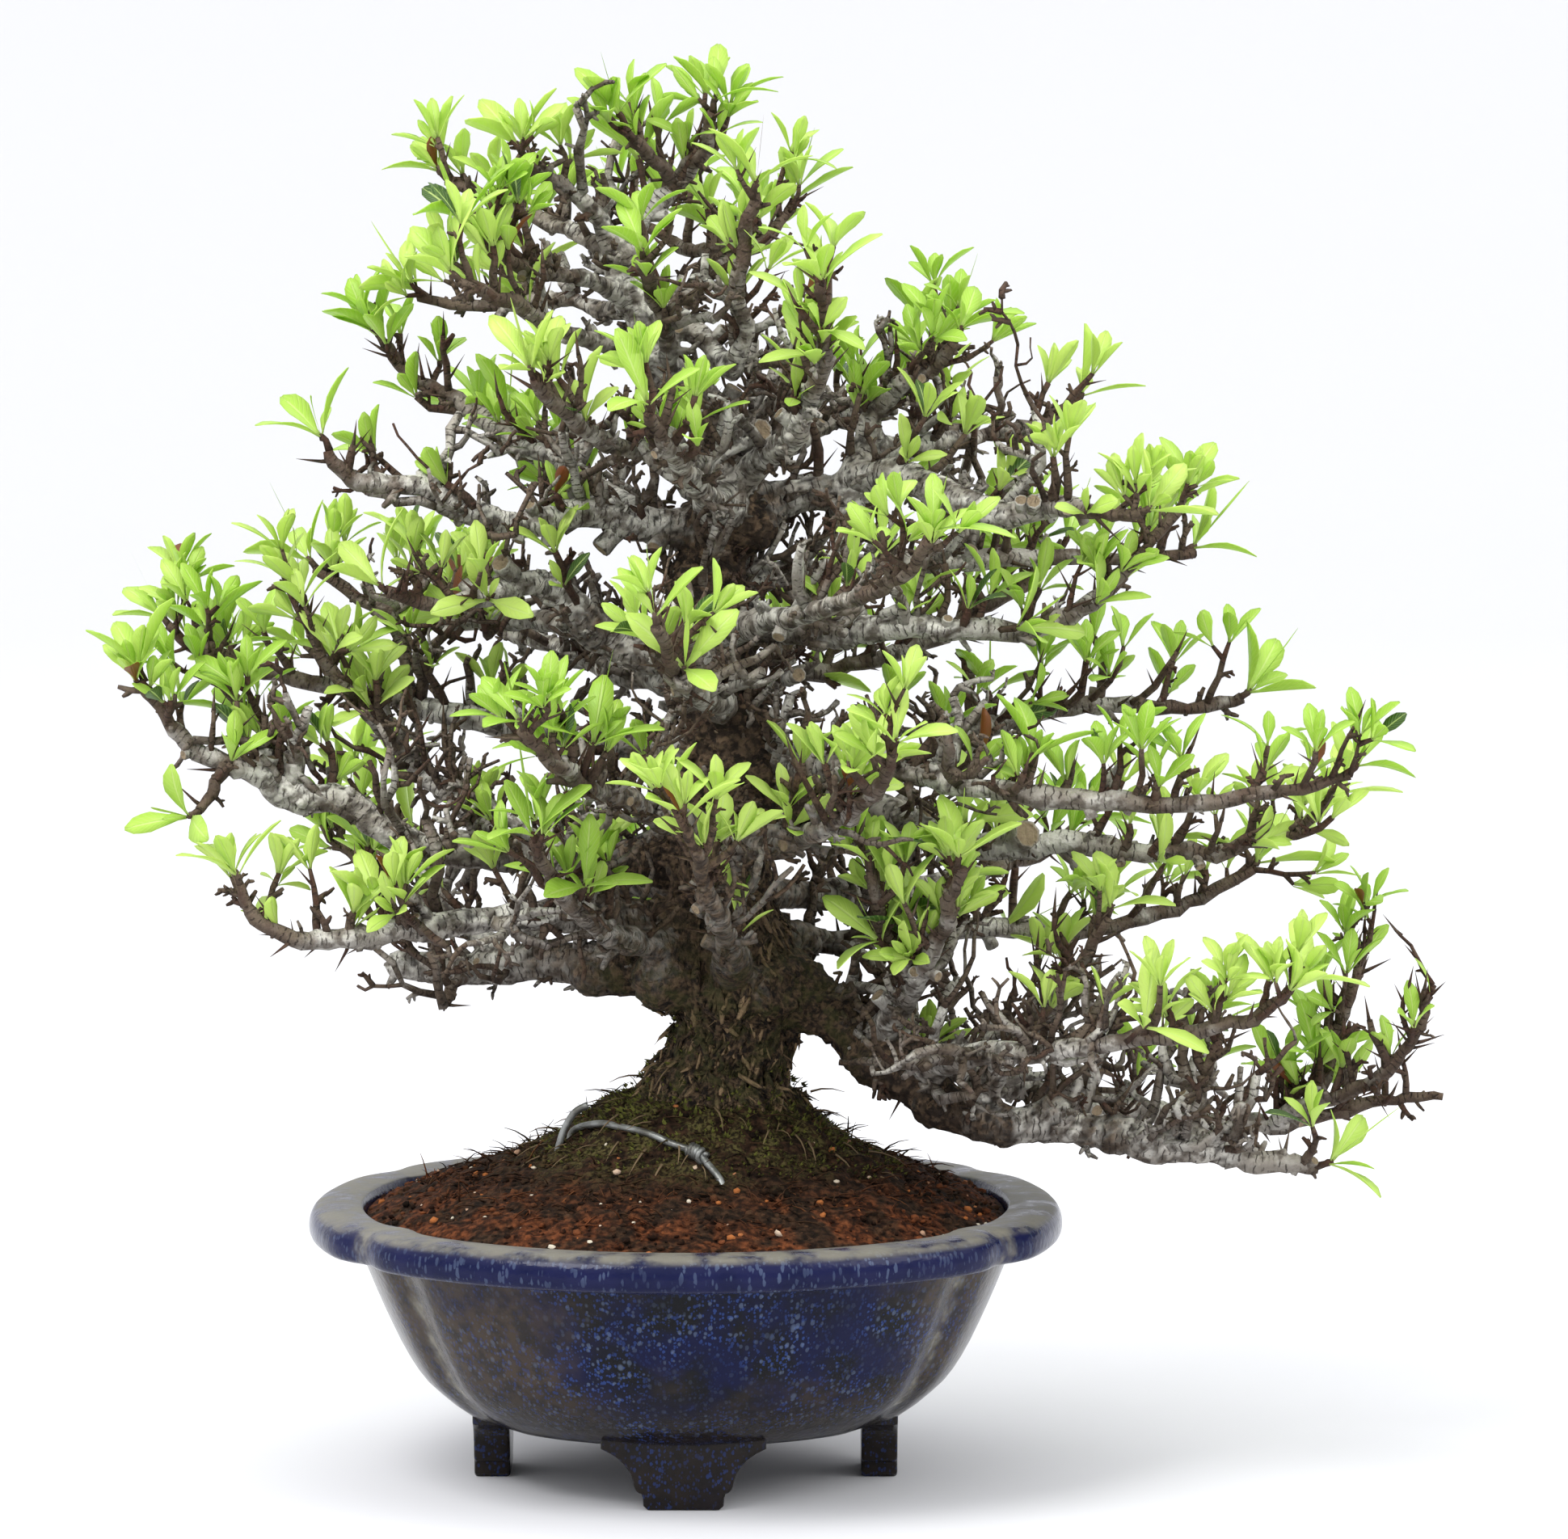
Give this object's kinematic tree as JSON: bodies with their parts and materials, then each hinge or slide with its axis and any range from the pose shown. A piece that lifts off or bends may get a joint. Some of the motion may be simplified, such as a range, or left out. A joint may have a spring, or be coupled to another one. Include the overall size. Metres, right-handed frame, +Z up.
{
  "type": "firethorn bonsai in a pot",
  "caption": "Firethorn bonsai with a gnarled tapering trunk, tiers of spreading limbs and tufts of fresh green leaves, planted in a lobed blue-glazed pot on four feet.",
  "frame": {"origin": "middle of the tree's and pot's common box, at the level of the undersides of the pot's feet", "axes": "+X to the right and +Y to the back, seen from the front side of the picture; +Z up along the trunk"},
  "size_m": [0.4698, 0.3584, 0.4992],
  "materials": {
    "pot_glaze": "gloss",
    "screen_plastic": "matte",
    "drainage_grit": "matte",
    "soil": "matte",
    "tie_wire": "satin",
    "bark": "matte",
    "leafy_stem": "satin"
  },
  "bodies": {
    "root": {"drain_screen_left": "screen_plastic", "drain_screen_right": "screen_plastic", "drainage_grit": "drainage_grit", "leafy_back_high": "leafy_stem", "leafy_back_left_high": "leafy_stem", "leafy_back_left_low": "leafy_stem", "leafy_back_left_mid": "leafy_stem", "leafy_back_low": "leafy_stem", "leafy_back_mid": "leafy_stem", "leafy_back_right_high": "leafy_stem", "leafy_back_right_low": "leafy_stem", "leafy_crown_back_right": "leafy_stem", "leafy_crown_front": "leafy_stem", "leafy_crown_left_flat": "leafy_stem", "leafy_crown_left_high": "leafy_stem", "leafy_crown_left_low": "leafy_stem", "leafy_crown_left_mid": "leafy_stem", "leafy_crown_left_spur": "leafy_stem", "leafy_crown_right": "leafy_stem", "leafy_crown_top": "leafy_stem", "leafy_front_high": "leafy_stem", "leafy_front_low": "leafy_stem", "leafy_front_mid": "leafy_stem", "leafy_front_right_low": "leafy_stem", "leafy_front_right_mid": "leafy_stem", "leafy_left_front": "leafy_stem", "leafy_left_long": "leafy_stem", "leafy_left_low_front": "leafy_stem", "leafy_left_low_one": "leafy_stem", "leafy_left_low_two_up": "leafy_stem", "leafy_left_mid": "leafy_stem", "leafy_left_mid_arch": "leafy_stem", "leafy_left_mid_diag": "leafy_stem", "leafy_left_thick": "leafy_stem", "leafy_left_thick_up": "leafy_stem", "leafy_left_upper": "leafy_stem", "leafy_left_upper_back": "leafy_stem", "leafy_left_upper_front": "leafy_stem", "leafy_low_right": "leafy_stem", "leafy_low_right_far_up": "leafy_stem", "leafy_low_right_front": "leafy_stem", "leafy_low_right_inner": "leafy_stem", "leafy_low_right_up": "leafy_stem", "leafy_low_right_upper": "leafy_stem", "leafy_right_cut_limb": "leafy_stem", "leafy_right_four": "leafy_stem", "leafy_right_four_back": "leafy_stem", "leafy_right_front_high": "leafy_stem", "leafy_right_one_back": "leafy_stem", "leafy_right_three": "leafy_stem", "leafy_right_three_low": "leafy_stem", "leafy_right_two": "leafy_stem", "leafy_right_upper_back": "leafy_stem", "leafy_right_upright": "leafy_stem", "pot": "pot_glaze", "soil": "soil", "tie_wire_long": "tie_wire", "tie_wire_upright": "tie_wire", "trunk_and_limbs": "bark"}
  },
  "joints": []
}
